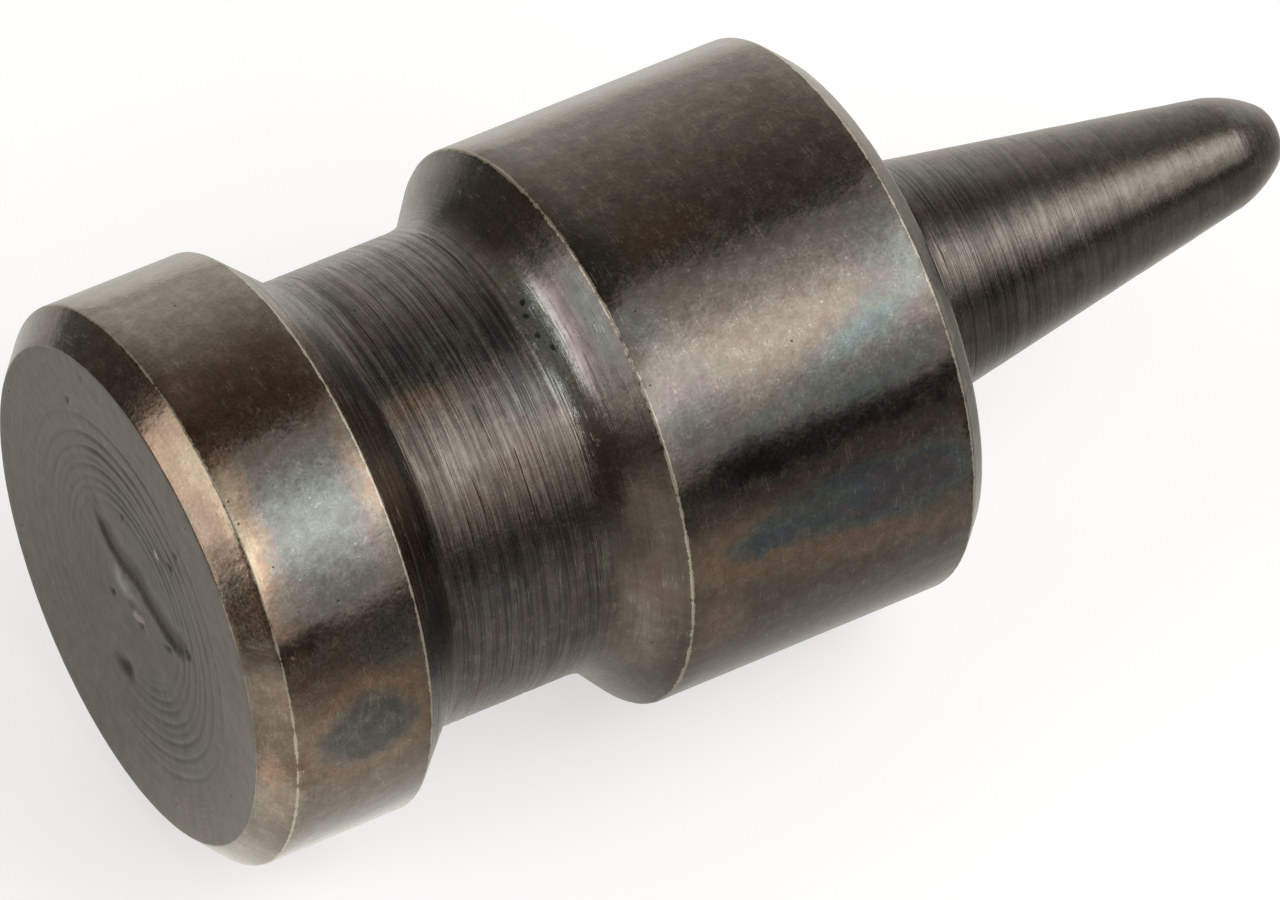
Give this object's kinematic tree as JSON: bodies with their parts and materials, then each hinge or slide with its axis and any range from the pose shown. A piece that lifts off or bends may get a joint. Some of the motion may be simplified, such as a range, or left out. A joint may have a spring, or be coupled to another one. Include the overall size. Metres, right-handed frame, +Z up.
{
  "type": "chain breaker punch",
  "caption": "Turned steel punch with a bevelled striking head, a retaining groove, a cylindrical shoulder and a tapered nose with a rounded tip.",
  "frame": {"origin": "centre of the flat striking face at the rear of the head", "axes": "+X along the punch's axis, from the striking face to the nose tip; +Z up with the punch lying on its side; +Y completes the right-handed frame"},
  "size_m": [0.0285, 0.0126, 0.0126],
  "materials": {
    "hardened_steel": "dark heat-treated steel with temper colours, fine turning marks, scratches and bright worn edges"
  },
  "bodies": {
    "root": {"punch": "hardened_steel"}
  },
  "joints": []
}
